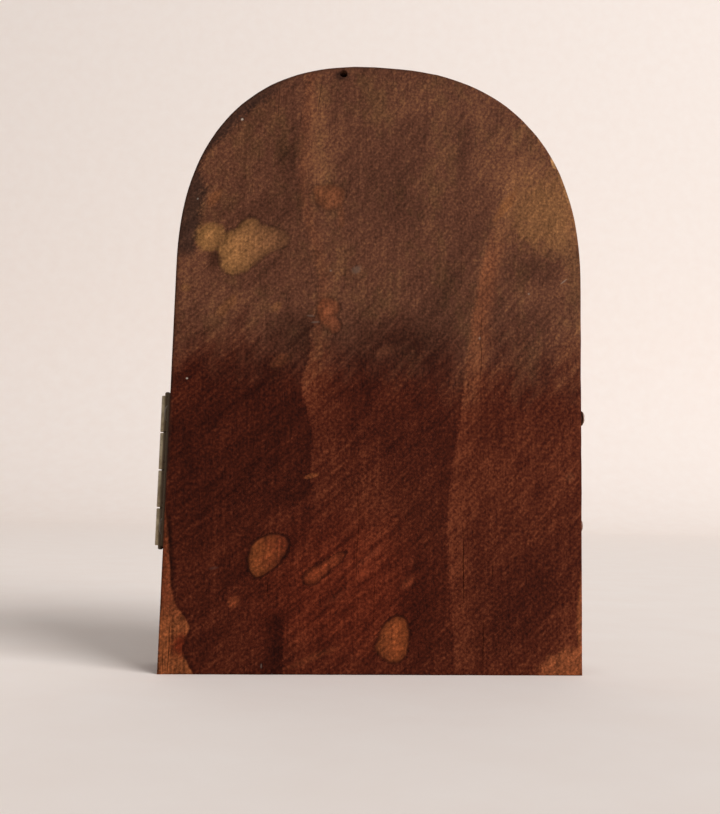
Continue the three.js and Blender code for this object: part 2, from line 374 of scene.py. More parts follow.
def wood_figure(seen):
    """Broad, middling and fine saw arcs, mottle and grain as levels round 0, and pores from 0 to 1."""
    right, up, towards = seen.split()
    arcs = seen.add("CombineXYZ", {}, {0: seen.away(SAW_CENTRE), 1: right * 0.68 + up * 0.73, 2: towards})
    broad = arcs.noise((0.28, 0.045, 0.2), 2, 0.6) - 0.5
    sawn = arcs.noise((0.85, 0.11, 0.3), 2, 0.6) - 0.5
    fine = arcs.noise((2.1, 0.2, 0.5), 2, 0.6) - 0.5
    mottle = seen.noise((1.9, 1.75, 2), 2, 0.6) - 0.5
    grain = seen.noise((1.1, 0.08, 0.4), 2, 0.6) - 0.5
    pores = seen.noise((2.3, 0.32, 2), 2, 0.6).fade(0.57, 0.72)
    return broad, sawn, fine, mottle, grain, pores


def edge_distance(right, up):
    """About how far a place lies inside the sides and the arch of the outline, in millimetres."""
    across = (abs(right) / (HALF / MM)) ** FULLNESS
    above = ((up - SPRING / MM).most(0) / ((CROWN - SPRING) / MM)) ** FULLNESS
    return (1 - (across + above) ** (1 / FULLNESS)) * (HALF / MM)


def blot(seen, ragged, right, up, length, width, turn):
    """Reach of a blot: below 1 inside an oval of these half sizes, turned by so many degrees."""
    turn = math.radians(turn)
    lengthways = Vector((math.cos(turn), math.sin(turn), 0)) / length
    sideways = Vector((-math.sin(turn), math.cos(turn), 0)) / width
    middle = Vector((right, up, 0))
    oval = seen.add("CombineXYZ", {}, {0: seen.along(lengthways), 1: seen.along(sideways)})
    return oval.away((middle.dot(lengthways), middle.dot(sideways), 0)) + ragged


def outlined(seen, places):
    """How many millimetres a place on the back lies outside an outline drawn through places round it."""
    middle = sum((Vector((*place, BACK / MM)) for place in places), Vector()) / len(places)
    rays = [Vector((*place, BACK / MM)) - middle for place in places]
    stops = sorted((math.atan2(ray.y, ray.x), ray.length) for ray in rays)
    before = stops[-1][0] - 2 * math.pi, stops[-1][1]
    after = stops[0][0] + 2 * math.pi, stops[0][1]
    right, up, towards = seen.split()
    turn = seen.math("ARCTAN2", up - middle.y, right - middle.x)
    return seen.away(middle) - turn.ramp([before, *stops, after])


# The panel's stain is a thin red brown wiped on along the grain, bleached and with a painted sheen in its
# upper half.
# Water has left pale blots and drops with dark rims, and the lower corners are rubbed to bare wood.
# Places are given as seen from behind: millimetres to the right of the middle and up from the foot.
STAIN = tint(34, 7, 3), tint(70, 26, 13), tint(114, 57, 34)  # dark, middle and light
# The paler stain is bleached; on the panel's upper half it also carries a painted sheen.
PALE_STAIN = tint(50, 26, 15), tint(95, 57, 41), tint(151, 101, 65)
OLIVE = tint(100, 68, 42)
RED = tint(84, 24, 9)
RUST = tint(100, 54, 33)
BARE_WOOD = tint(122, 66, 36), tint(98, 47, 26)  # at the foot and above it
BARE_RED = tint(92, 34, 16)
WORN_WOOD = tint(122, 65, 37)
SMUDGE = tint(56, 36, 28)
EDGE_LINE = tint(44, 27, 20)
FLECK = tint(186, 172, 156)
HOLLOW_SHADE_AND_STAIN = tint(20, 10, 8)
LEFT_STREAK = [  # height, and where the left side of the pale streak lies
    (0, -12.4), (38.5, -12.9), (46, -13.1), (53.5, -15.2), (59.6, -14), (66, -13.4), (72, -12.7),
    (77.5, -13.4), (86.7, -15.8), (96.6, -17.1), (108, -16.7), (119, -16),
]
RIGHT_STREAK = [  # the same for the streak on the right
    (0, 15), (25, 13.4), (36, 13.8), (47, 15.4), (59.8, 16.8), (70.8, 18.1), (82.1, 20.2), (90.2, 22.7),
    (99, 26.3), (103.8, 29.1), (119, 40),
]
CLOUDS = [  # right, up, half length, half width, turn, how much lighter or darker
    (-19, 101, 12, 3.6, 90, -0.3), (-24, 88.5, 10, 5, 15, -0.12), (-33, 92, 7, 4, 70, 0.15),
    (-12, 101, 11, 4, 95, 0.3), (2, 95, 15, 6, 90, -0.1), (11, 103, 12, 3, 90, 0.2), (9, 112, 14, 5, 0, 0.2),
    (16, 104, 10, 2, 90, -0.12), (24, 101, 13, 8, 100, 0.34), (31, 79.5, 9, 4.5, 12, -0.3),
    (37, 86, 11, 4, 90, 0.45), (-37, 76, 7, 4, 90, 0.22), (11, 71, 13, 8, 80, -0.19),
    (-30, 61, 7, 6, 0, 0.22), (-5, 63, 18, 6.5, 0, -0.3), (27, 65, 7, 7, 60, -0.18),
    (-37, 51, 8, 4, 90, 0.2), (37, 41, 10, 4, 90, 0.3), (38, 63, 8, 4, 90, 0.3), (-18, 66, 5, 5, 0, -0.25),
    (-33, 78, 2.4, 1.2, 88, -0.45), (28, 41, 18, 10, 40, 0.32), (35, 33, 9, 5, 40, 0.2),
    (27, 12, 13, 9, 35, -0.4), (-1, 29, 16, 4, 90, 0.24), (-9, 16, 12, 11, 20, 0.2),
    (8, 15, 15, 4.5, 85, -0.36), (-24, 8, 9, 4.5, 90, 0.22), (0, 7, 8, 4, 90, 0.2),
    (-17.9, 28, 4, 3.5, 40, 0.3), (-13.2, 3.6, 4, 3, 90, 0.24), (-28.6, 69, 7.5, 3.4, 0, 0.22),
    (23.5, 71.5, 4, 4, 0, -0.18), (32, 96.6, 5, 3, 115, 0.22), (-16, 93.5, 5, 2.5, 90, -0.2),
    (-19, 105.5, 5, 2.5, 90, 0.2), (-35, 33, 11, 5, 90, -0.17), (-10.5, 45.5, 5, 3.5, 90, -0.16),
    (37, 9, 6, 4, 90, 0.4), (-24, 54, 10, 4.5, 90, -0.14), (38, 4, 5, 4, 90, 0.3), (36, 91, 6, 4, 100, 0.2),
]
RED_PATCH = (-6, 15, 18, 15, 0)  # right, up, half length, half width, turn
SOFT_MARKS = [  # right, up, half length, half width, turn, strength and colour
    (-30, 68.8, 2.7, 1.1, 50, 0.65, tint(112, 70, 42)), (-20.7, 68.9, 1.3, 0.9, 40, 0.6, tint(114, 72, 44)),
    (-19.7, 58.5, 1.9, 1.1, 40, 0.45, tint(104, 58, 34)), (0.4, 61, 1.9, 1.1, 30, 0.4, tint(104, 60, 40)),
    (-38, 71.8, 0.9, 0.9, 0, 0.5, tint(116, 76, 44)), (32.5, 91.2, 8.5, 7, 60, 0.66, tint(130, 88, 53)),
    (24.5, 92, 3.5, 1, 55, 0.5, tint(136, 84, 46)), (34.2, 101.4, 1.3, 0.4, 114, 0.8, tint(170, 126, 80)),
    (-26.6, 13.1, 1.1, 0.95, 30, 0.95, tint(107, 50, 27)), (5.8, 17, 1.7, 0.9, 40, 0.7, tint(96, 42, 23)),
    (-12.9, 36.7, 1.2, 0.42, 15, 0.7, tint(124, 66, 36)), (37.6, 37.7, 0.9, 0.8, 60, 0.6, tint(108, 58, 36)),
    (36.6, 96, 4, 0.4, 112, 0.45, tint(150, 108, 68)), (39.2, 88.5, 2.5, 0.4, 103, 0.45, tint(146, 106, 66)),
    (-33.2, 90, 2.4, 1, 58, 0.5, tint(118, 70, 40)), (-8.7, 88, 2.7, 0.7, 94, 0.5, tint(112, 66, 42)),
    (-11.9, 3.1, 5, 0.7, 23, 0.45, tint(112, 54, 30)), (-1.8, 21.7, 3.2, 0.6, 40, 0.4, tint(106, 48, 29)),
    (-7.9, 14, 2.8, 0.5, 36, 0.35, tint(104, 46, 27)), (6.4, 20.9, 0.8, 0.6, 40, 0.45, tint(96, 42, 24)),
]
DRIED_MARKS = [  # how strong, how dark its rim, its colours at the left and right, and places round it
    (0.9, 0.45, tint(138, 95, 56), tint(108, 70, 46), [
        (-32.1, 81.1), (-31.5, 82.5), (-29.8, 83.5), (-28.3, 84.6), (-26.2, 86.1), (-24.9, 85.9),
        (-23.8, 85), (-20.3, 84.2), (-18.7, 82.9), (-19.4, 81), (-22.3, 79.7), (-24.9, 77.4),
        (-26.9, 75.6), (-29, 74.9), (-30.6, 75.2), (-31.7, 77)]),
    (0.95, 0, tint(148, 103, 60), tint(140, 96, 57), [
        (-36.6, 83.2), (-35.6, 84.3), (-32.8, 84.7), (-31.5, 84), (-31.2, 82.4), (-31.2, 81), (-32.6, 79.8),
        (-35.4, 79.8), (-36.5, 80.8)]),
    (0.8, 0.5, tint(120, 70, 43), tint(116, 67, 42), [
        (-14.1, 92.9), (-12, 93.6), (-9.8, 94), (-8.6, 93.3), (-8.3, 91.1), (-9.3, 89.4), (-10.8, 88.7),
        (-12.5, 89.3), (-13.7, 90.7)]),
    (0.8, 0.5, tint(122, 66, 40), tint(112, 61, 39), [
        (-12.4, 70.4), (-11.4, 71), (-9.2, 70.6), (-8.6, 69.3), (-9.1, 67.6), (-8.3, 66.3), (-8.8, 64.6),
        (-10.4, 64.8), (-11.8, 66.1), (-12.6, 67.7)]),
    (0.95, 1, tint(119, 61, 30), tint(94, 40, 21), [
        (-24.1, 19.9), (-24, 22), (-22.6, 24.6), (-20.8, 25.3), (-18.1, 25.3), (-17.1, 24.7), (-17.1, 23.1),
        (-18.3, 21), (-20.5, 18.9), (-22.3, 17.7), (-23.4, 18.1)]),
    (0.72, 0.8, tint(104, 46, 23), tint(100, 44, 23), [
        (-13.8, 17.5), (-13.6, 18.3), (-11.9, 19.7), (-11.2, 20.2), (-10.3, 20.8), (-9, 21.5), (-6.4, 22.6),
        (-6.4, 21.8), (-8.5, 19.6), (-9.5, 18.6), (-10.5, 17.8), (-12.3, 16.6), (-13.5, 16.7)]),
    (0.95, 0.7, tint(112, 56, 28), tint(124, 61, 30), [
        (0.1, 5.5), (0.9, 7.3), (1.4, 9.1), (3, 10.4), (4.3, 10.7), (5.4, 9.9), (6, 6.8), (5.9, 4.7),
        (5.2, 3.2), (3.7, 2.4), (2, 2.9), (0.7, 3.9)]),
]
LEFT_CORNER = [  # height, and how far the bare wood reaches in from the left side
    (0, 6.5), (1.1, 5.9), (2.4, 5.2), (3.6, 4.7), (4.9, 4.4), (6.2, 4.8), (7.4, 5.2), (8.5, 5.5), (9.5, 4.9),
    (10.7, 4.2), (12, 3.1), (13.9, 2.4), (15.6, 1.9), (19.7, 1.4), (28, 0.6), (32, 0),
]
LEFT_CORNER_RED = (-36, 5.4, 2.3, 1.9, 80)
RIGHT_CORNER = [(38.5, 0, 7, 5.2, 10), (40.6, 10, 9, 1.7, 90)]
NAIL_STAIN = (-NAIL_PLACE.x / MM - 0.4, NAIL_PLACE.z / MM - 0.4, 1.7, 1.3, 8)
FLECKS = [  # right, up, half length, half width, turn, strength
    (-28.6, 106, 0.24, 0.2, 40, 0.8), (-36.5, 89.4, 0.22, 0.16, 60, 0.35), (-37, 54.4, 0.22, 0.18, 0, 0.7),
    (-5.3, 77.1, 1, 0.7, 30, 0.08), (-14, 67.5, 0.7, 0.2, 0, 0.08), (-13.1, 66.3, 0.8, 0.2, 5, 0.1),
    (-10.4, 76.6, 0.2, 0.18, 0, 0.2), (36.4, 76.9, 0.8, 0.13, 40, 0.25), (29.2, 74, 0.2, 0.18, 0, 0.25),
    (19.3, 64.6, 0.25, 0.3, 0, 0.25), (-30.6, 19.2, 0.8, 0.25, 10, 0.03), (-21.2, 1.6, 0.4, 0.15, 90, 0.12),
]


def stain(shade, dark, middle, light):
    """The colour of a stain: dark at a low shade, middle at a shade of 1, and light at a high one."""
    under = shade.fade(0.27, 1, "LINEAR").mix(dark, middle)
    return shade.fade(1, 2.7, "LINEAR").mix(under, light)


material, surface, place = new_finish("stained_panel")
x, y, z = place.split()
seen = place.add("CombineXYZ", {}, {0: x * -1, 1: z, 2: y})
right, up, towards = seen.split()
broad, sawn, fine, mottle, grain, pores = wood_figure(seen)
drift = seen.noise((0.09, 0.06, 0.1), 4, 0.6) - 0.5
ragged = (seen.noise((0.5, 0.5, 0.5), 4, 0.7) - 0.5) * 0.55
rear = towards.fade(BACK / MM - 1.6, BACK / MM - 0.8)
edge = edge_distance(right, up)

# How dark the stain lies: two streaks run up the board, and clouds lie over them.
# The upper half is paler: partly bleached stain, partly painted sheen that also softens the figure.
bleach_and_sheen = (up + drift * 24 + sawn * 6).fade(52, 70)
soft = bleach_and_sheen * 0.6 + 0.5
left_way = right - up.ramp(LEFT_STREAK) + drift + mottle * 0.6
right_way = right - up.ramp(RIGHT_STREAK) + drift + mottle * 0.6
left_streak = left_way.fade(soft * -0.8, soft * 0.6) * left_way.fade(7.5, 1) * up.fade(44, 56)
right_streak = right_way.fade(soft * -0.6, soft * 0.7) * right_way.fade(5.2, 2)
right_streak = right_streak * (up.fade(10, 34) * 0.3 + 0.7)
left_step = left_way.fade(-0.5, 0.4) * left_way.fade(13, 0.5) * up.fade(24, 38)
foot = up.fade(40, 18)
low = 0.64 + foot * 0.2 + left_way.fade(-0.7 - foot * 3, 0.4 + foot * 4) * 0.22
low = low + right_way.fade(-0.4, 0.4) * 0.18
low = low + left_streak * 0.45 + left_step * 0.36 + right_streak * 0.55
high = 0.88 + right_way.fade(-1.5, 1) * 0.12 + left_streak * 0.26 + right_streak * 0.32
level = low + (high - low) * bleach_and_sheen + drift * 0.4 + broad * (0.85 - bleach_and_sheen * 0.35)
for *oval, change in CLOUDS:
    level = level + blot(seen, ragged, *oval).fade(1.35, 0.2) * change
level = level - (right + mottle).fade(-17, -17.5) * right.fade(-22, -18.5) * up.fade(12.5, 9) * 0.42

# The wood's figure shows through the stain, which is redder near the foot and rusty in the streaks.
red = blot(seen, ragged, *RED_PATCH).fade(1.4, 0.3) * (1 - bleach_and_sheen) * 0.36
sawing = sawn * (red * 5 + 1.6) + fine * 1.7
figure = 2 ** ((sawing + mottle * (3.9 - red) + grain * 1.4 - pores * 0.5) * (1 - bleach_and_sheen * 0.2))
shade = level * figure + mottle * 0.2
colour = bleach_and_sheen.mix(stain(shade, *STAIN), stain(shade, *PALE_STAIN))
olive = seen.noise((0.14, 0.09, 0.1), 4, 0.75).fade(0.47, 0.68) * bleach_and_sheen * 0.5
colour = olive.mix(colour, shade.of(OLIVE))
colour = red.mix(colour, shade.of(RED))
rust = (left_streak * left_way.fade(3.5, 0.5) * 0.3).most(right_streak * up.fade(92, 76) * 0.6) * bleach_and_sheen
colour = rust.mix(colour, shade.of(RUST))

# Blots, dried drops and the corners that are rubbed to bare wood.
fibres = seen.noise((1.7, 0.09, 0.4), 2) - 0.5
faint = (figure + fibres * 0.8).most(0.5)
for *oval, strength, pale in SOFT_MARKS:
    mask = (blot(seen, ragged * 3, *oval) + fine * 0.6).fade(1.35, 0.5) * strength * rear
    colour = mask.mix(colour, figure.of(pale))
bare = right + HALF / MM - up.ramp(LEFT_CORNER) - ragged
corner = bare.fade(0.2, -0.25) * rear
rim = bare.fade(1.1, 0.2) * up.fade(32, 27) * (up.fade(10, 20) * 0.5 + 0.4)
bare_wood = (up + ragged * 6).fade(8, 14).mix(*BARE_WOOD)
bare_wood = blot(seen, ragged * 2, *LEFT_CORNER_RED).fade(1.4, 0.4).mix(bare_wood, BARE_RED)
colour = corner.mix(colour, (faint + fibres).of(bare_wood))
for strength, dark, left_colour, right_colour, places in DRIED_MARKS:
    outside = outlined(seen, places) + ragged * (5.5 - dark * 4.5) + (mottle + fine) * 0.7
    ends = [place[0] for place in places]
    fill = (right + sawn * 3 + ragged * 12).fade(min(ends), max(ends)).mix(left_colour, right_colour)
    fill = (faint * (outside.fade(dark * 0.9 - 0.5, dark * 0.8 - 3.2) * 0.4 + 0.7)).of(fill)
    colour = (outside.fade(0.8 - dark * 0.5, dark * 0.4 - 0.7) * rear * strength).mix(colour, fill)
    rim = (rim * outside.fade(-0.6, 0)).most(outside.fade(-0.25, 0.1) * outside.fade(0.85, 0.25) * dark)
worn = blot(seen, ragged * 2, *RIGHT_CORNER[0]).least(blot(seen, ragged, *RIGHT_CORNER[1]))
colour = (worn.fade(1.2, 0.8) * rear * 0.95).mix(colour, faint.of(WORN_WOOD))
colour = (1 - rim * rear * (1 - corner) * (0.62 + drift)).of(colour)

# Dirt along the edge of the arch, pale specks, a stain round the nail, and painted shade in the nail hole
# and splits.
smudge = up.fade(97, 90) * 2.9 + up.fade(98.5, 103) * 1.3 + 0.4
dark_edge = (edge + (fine + mottle) * 2).fade(smudge + 0.9, smudge - 0.7)
dark_edge = dark_edge * right.fade(-16, -28) * up.fade(76.5, 80)
colour = (dark_edge * rear * 0.85).mix(colour, faint.of(SMUDGE))
edge_line = edge.fade(0.8, 0.1) * up.fade(24, 40) * right.fade(24, 0) * rear * 0.5
colour = edge_line.mix(colour, EDGE_LINE)
for *oval, strength in FLECKS:
    fleck = blot(seen, ragged * 1.5, *oval).fade(1.4, 0.5) * rear * strength
    colour = fleck.mix(colour, FLECK)
nail_stain = blot(seen, ragged * 1.6, *NAIL_STAIN).fade(1.2, 0.5)
# Painted shade darkens the nail hole and the splits with depth, and a dark stain lies round the nail.
hollow_shade = (BACK / MM - towards).fade(0.04, 0.25) * edge.fade(0.9, 1.2) * towards.fade(2.5, 3)
colour = (hollow_shade.most(nail_stain * 0.75 * rear) * 0.9).mix(colour, HOLLOW_SHADE_AND_STAIN)

height = broad * 0.3 + sawn * 0.4 + fine * 0.4 + mottle * 0.4 - pores * 0.8 - rim * 0.3
dress(surface, colour, 0.68 + mottle * 0.3 - pores * 0.1, height, 0.05)
surface.inputs["Specular IOR Level"].default_value = 0.05
centre_panel.data.materials.append(material)

# Centre picture
# A card glued into the panel's recess: a gilt ground with a painted border that follows the arch.
# Rays run out from behind the cross to a ring of raised gesso dots.
HALO = 21  # radius of the ring of dots, in millimetres
DOT_RADIUS = 0.55 * MM
DOT_HEIGHT = 0.3 * MM
DOT_COUNT = 44
DOT_ROWS = 4
DOT_SIDES = 10
CROSS_CLEAR = 4.2 * MM
cross_low, cross_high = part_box("centre_cross")
ARM_DROP = 17 * MM
CROSSING = Vector((0, picture_low.y, cross_high.z - ARM_DROP))


def card(name, outline, inset, front, back, ease=0.08 * MM):
    """A thin sheet that fills an outline, its edges a little soft."""
    toward = 1 if back > front else -1
    shares = [0.1, 0.3, 0.5, 0.7, 0.9]
    loops = shrunk(outline(inset + ease, front), shares)
    loops += [outline(inset + ease, front), outline(inset, front + toward * ease)]
    loops += [outline(inset, back - toward * ease), outline(inset + ease, back)]
    loops += shrunk(outline(inset + ease, back), shares[::-1])
    return loft(name, loops)


def dome(mesh, foot, toward):
    """A raised dot of gesso that sits on a face."""
    rows = []
    for step in range(DOT_ROWS):
        turn = math.pi / 2 * step / DOT_ROWS
        reach = DOT_RADIUS * math.cos(turn)
        lift = Vector((0, toward * DOT_HEIGHT * math.sin(turn), 0))
        row = []
        for i in range(DOT_SIDES):
            round_it = 2 * math.pi * i / DOT_SIDES
            way = Vector((reach * math.cos(round_it), 0, reach * math.sin(round_it)))
            row.append(mesh.verts.new(foot + lift + way))
        rows.append(row)
    top = mesh.verts.new(foot + Vector((0, toward * DOT_HEIGHT, 0)))
    for row, after in zip(rows, rows[1:]):
        for i in range(DOT_SIDES):
            j = (i + 1) % DOT_SIDES
            mesh.faces.new((row[i], row[j], after[j], after[i]))
    for i in range(DOT_SIDES):
        mesh.faces.new((rows[-1][i], rows[-1][(i + 1) % DOT_SIDES], top))
    mesh.faces.new(rows[0])


centre_picture = card("centre_card", panel_loop, HALF - picture_high.x, picture_low.y, picture_high.y)
mesh = bmesh.new()
mesh.from_mesh(centre_picture.data)
for i in range(DOT_COUNT):
    turn = 2 * math.pi * (i + 0.5) / DOT_COUNT
    spot = CROSSING + Vector((math.cos(turn), 0, math.sin(turn))) * HALO * MM
    if abs(spot.x) > CROSS_CLEAR or spot.z > CROSSING.z:
        dome(mesh, spot, -1)
bmesh.ops.recalc_face_normals(mesh, faces=mesh.faces)
mesh.to_mesh(centre_picture.data)
mesh.free()
smooth(centre_picture)
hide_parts("centre_picture")
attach(centre_picture, "centre")

GOLD = tint(190, 148, 72)
WORN_GOLD = tint(150, 108, 56)
RED_CLAY = tint(118, 46, 30)
PAINT_BLUE = tint(36, 52, 74)
PAINT_RED = tint(122, 34, 28)
PAINT_GREEN = tint(54, 70, 44)
RAYS = 36
LATTICE = 6  # how far apart the lines of the lattice lie, in millimetres
LOZENGE = 2.6
BAND_OUTSIDE = 9.2  # how far the rules beside the painted band lie in from the panel's edge
BAND_INSIDE = 13.5


def line(distance, at, half):
    """A painted or scribed line where a distance is at a value, 1 in its middle."""
    return abs(distance - at).fade(half + 0.12, half - 0.05)


def gilding(place):
    """Leaf over red clay: colour, how bare it is rubbed, and its leaf-by-leaf unevenness."""
    leaf = place.noise((0.16, 0.16, 0.16), 3, 0.6) - 0.5
    rubbed = place.noise((1.1, 1.1, 0.5), 4, 0.7).fade(0.62, 0.74)
    grit = place.noise((3, 3, 3), 3, 0.7) - 0.5
    colour = (leaf + 0.5).fade(0.3, 0.75).mix(WORN_GOLD, GOLD)
    colour = (rubbed * 0.75).mix(colour, RED_CLAY)
    return (grit * 0.5 + 1).of(colour), rubbed, leaf + grit


material, surface, place = new_finish("painted_card")
x, y, z = place.split()
gilt, rubbed, uneven = gilding(place)
border = edge_distance(x, z).least(z)
halo = place.add("CombineXYZ", {}, {0: x, 2: z}).away((0, 0, CROSSING.z / MM))
angle = x.math("ARCTAN2", x, z - CROSSING.z / MM)
rays = line(abs((angle * (RAYS / math.pi)) % 2 - 1), 0, 0.22)
rays = rays * halo.fade(6, 8) * halo.fade(HALO - 1, HALO - 1.6)
lozenge_up = abs((x + z) % LOZENGE - LOZENGE / 2)
lozenge_down = abs((x - z) % LOZENGE - LOZENGE / 2)
lozenges = lozenge_up.most(lozenge_down).fade(0.72, 0.5)
lattice = line((x + z) % LATTICE, LATTICE / 2, 0.1).most(line((x - z) % LATTICE, LATTICE / 2, 0.1))
lattice = lattice * halo.fade(HALO + 1, HALO + 1.6)
bud_place = {0: (x + z) % LATTICE - LATTICE / 2, 1: (x - z) % LATTICE - LATTICE / 2}
buds = place.add("CombineXYZ", {}, bud_place).away((0, 0, 0))
band = border.fade(BAND_OUTSIDE + 0.2, BAND_OUTSIDE + 0.5)
band = band * border.fade(BAND_INSIDE - 0.3, BAND_INSIDE - 0.6)
field = border.fade(BAND_INSIDE + 0.1, BAND_INSIDE + 0.5)
colour = (lattice * field * 0.5).mix(gilt, RED_CLAY)
colour = (buds.fade(0.95, 0.75) * field * halo.fade(HALO + 1.4, HALO + 2) * 0.85).mix(colour, PAINT_RED)
colour = (rays * 0.55).mix(colour, RED_CLAY)
colour = (band * 0.92 * (1 - lozenges)).mix(colour, PAINT_BLUE)
rules = line(border, BAND_OUTSIDE, 0.22).most(line(border, BAND_INSIDE, 0.22))
rules = rules.most(line(halo, HALO - 1.2, 0.2)).most(line(halo, HALO + 1.2, 0.2))
colour = (rules * 0.9).mix(colour, PAINT_RED)
painted = (band * (1 - lozenges)).most(rules)
colour = (painted * rubbed * 0.5).mix(colour, gilt)
dress(surface, colour, 0.42 + painted * 0.25 + rubbed * 0.2 + uneven * 0.15,
      uneven * 0.5 - rays * 0.7 - lattice * field * 0.7 - rules * 0.4 - rubbed * 0.3, 0.06)
gilt_share = (1 - painted) * (1 - rubbed * 0.8) * 0.75
material.node_tree.links.new(gilt_share.socket, surface.inputs["Metallic"])
centre_picture.data.materials.append(material)

# Centre slip
# A thin wooden moulding carved as a rope, glued down over the edge of the picture to hold it.
# It is gilded over red clay, rubbed on its strands and dirty in places.
ROPE_PITCH = 2.2 * MM
ROPE_CUT = 0.16
ROPE_TWIST = 1.6
ROPE_STEPS = 12
ROPE_DENSE = 4  # points along the rope to each one along the plain outline
ROPE_DIRT = tint(70, 46, 26)
SLIP_WIDTH = 2 * MM


def rope_slip(name, outline, inset, face, foot):
    """A rope moulding round an outline: from inset inwards, standing on y = foot and up to y = face."""
    outer = outline(inset, foot, ROPE_DENSE)
    inner = outline(inset + SLIP_WIDTH, foot, ROPE_DENSE)
    run = [0]
    for before, after in zip(outer, outer[1:]):
        run.append(run[-1] + (after - before).length)
    loops = []
    for step in range(ROPE_STEPS + 1):
        turn = math.pi * step / ROPE_STEPS
        loop = []
        for far, near, along in zip(outer, inner, run):
            strand = 0.5 + 0.5 * math.cos(2 * math.pi * along / ROPE_PITCH + ROPE_TWIST * turn)
            swell = 1 - ROPE_CUT * strand ** 3 * math.sin(turn)
            share = 0.5 - 0.5 * math.cos(turn) * swell
            rise = Vector((0, (face - foot) * math.sin(turn) ** 0.6 * swell, 0))
            loop.append(far.lerp(near, share) + rise)
        loops.append(loop)
    return loft(name, loops, ring=True)


slip_low, slip_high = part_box("centre_slip")
centre_slip = rope_slip("centre_rope", panel_loop, HALF - slip_high.x, slip_low.y, slip_high.y)
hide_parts("centre_slip")
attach(centre_slip, "centre")

gilded, surface, place = new_finish("gilded_rope")
gilt, rubbed, uneven = gilding(place)
dirt = place.noise((0.5, 0.5, 0.5), 3, 0.6).fade(0.45, 0.75)
dress(surface, (dirt * 0.45).mix(gilt, ROPE_DIRT), 0.38 + rubbed * 0.3 + dirt * 0.2,
      uneven - rubbed * 0.5, 0.05)
metal = (1 - rubbed * 0.9) * (1 - dirt * 0.5) * 0.9
gilded.node_tree.links.new(metal.socket, surface.inputs["Metallic"])
centre_slip.data.materials.append(gilded)

# Cross
# A plain cross of thin wood with a low ridge along its arms, painted dark red and glued on the picture.
# Its arrises were left gilt, and the red has faded unevenly and is rubbed thin beside the arrises.
CROSS_BAR = 6 * MM
CROSS_RIDGE = 0.22 * MM
CROSS_EASE = 0.15 * MM
CROSS_STEPS = 8
RIDGE_FLAT = 0.4 * MM
RIDGE_EASE = 0.6 * MM
RIDGE_DROP = 0.02 * MM
DARK_RED = tint(92, 20, 18)
LIGHT_RED = tint(138, 40, 32)
FADED_RED = tint(146, 58, 44)
THIN_RED = tint(142, 76, 46)


def cross_loop(inset, y):
    """The outline of the cross drawn in by inset, each edge in a few steps."""
    bar = CROSS_BAR / 2 - inset
    arm = cross_high.x - inset
    head = cross_high.z - inset
    foot = cross_low.z + inset
    upper = CROSSING.z + bar
    lower = CROSSING.z - bar
    corners = [(-bar, foot), (bar, foot), (bar, lower), (arm, lower), (arm, upper), (bar, upper),
               (bar, head), (-bar, head), (-bar, upper), (-arm, upper), (-arm, lower), (-bar, lower)]
    loop = []
    for (x, z), (after_x, after_z) in zip(corners, corners[1:] + corners[:1]):
        for i in range(CROSS_STEPS):
            share = i / CROSS_STEPS
            loop.append(Vector((x + (after_x - x) * share, y, z + (after_z - z) * share)))
    return loop


shoulder = cross_low.y + CROSS_RIDGE
centre_cross = loft("painted_cross", [
    cross_loop(CROSS_EASE, cross_high.y), cross_loop(0, cross_high.y - CROSS_EASE),
    cross_loop(0, shoulder + CROSS_EASE), cross_loop(CROSS_EASE * 0.3, shoulder + CROSS_EASE * 0.3),
    cross_loop(CROSS_EASE, shoulder), cross_loop(CROSS_BAR / 2 - RIDGE_EASE, cross_low.y + RIDGE_DROP),
    cross_loop(CROSS_BAR / 2 - RIDGE_FLAT, cross_low.y)])
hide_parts("centre_cross")
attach(centre_cross, "centre")

material, surface, place = new_finish("red_cross")
x, y, z = place.split()
gilt, rubbed, uneven = gilding(place)
arris = (y - shoulder / MM).fade(-0.03, 0.04)
brush = place.noise((1.1, 1.1, 0.5), 3, 0.6) - 0.5
beside = (y - shoulder / MM).fade(-0.08, -0.01)
worn = (place.noise((0.5, 0.5, 0.3), 3, 0.6) + brush * 0.3).fade(0.5, 0.66) * beside
faded = place.noise((0.12, 0.12, 0.07), 3, 0.5).fade(0.4, 0.65)
colour = (brush + 0.5).mix(DARK_RED, LIGHT_RED)
colour = (faded * 0.4).mix(colour, FADED_RED)
colour = (worn * 0.7).mix(colour, THIN_RED)
colour = (arris * (1 - rubbed)).mix(colour, gilt)
dress(surface, colour, 0.5 + brush * 0.3 - arris * 0.1, brush - worn * 0.6, 0.05)
centre_cross.data.materials.append(material)

# Wing boards
# Two half-arch boards of the same stained wood, which close over the front and meet down the middle.
# Each is cut away on its inner face for a picture; hands have rubbed the meeting edges.
wing_low, wing_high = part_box("right_wing_board")
wing_picture_low, wing_picture_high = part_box("right_wing_picture")
MEETING = wing_low.x
WING_BORDER = wing_high.x - wing_picture_high.x - PICTURE_PLAY
WING_RECESS = wing_high.y - wing_picture_low.y + GLUE
WINGS = [("right", 1), ("left", -1)]  # each with the side of the middle it lies on, along X
HANDLED_HEIGHT = 58
HANDLED_WOOD = tint(118, 66, 38)
DROP_WOOD = tint(112, 52, 26)
RUBBED_WOOD = tint(126, 72, 42)


def wing_outline(side):
    """Makes the loop of one wing: 1 for the wing on +X, -1 for the other."""
    def loop(inset, y, dense=1):
        inner = MEETING + inset
        outer = HALF - inset
        count = 20 * dense
        bottom = [Vector((side * (inner + (outer - inner) * i / count), y, inset)) for i in range(count)]
        arch = arch_side(side, inner, outer, inset, CROWN - inset, y, dense)
        count = 50 * dense
        top = arch[-1].z
        meeting = [Vector((side * inner, y, top + (inset - top) * i / count)) for i in range(1, count)]
        return bottom + arch + meeting
    return loop


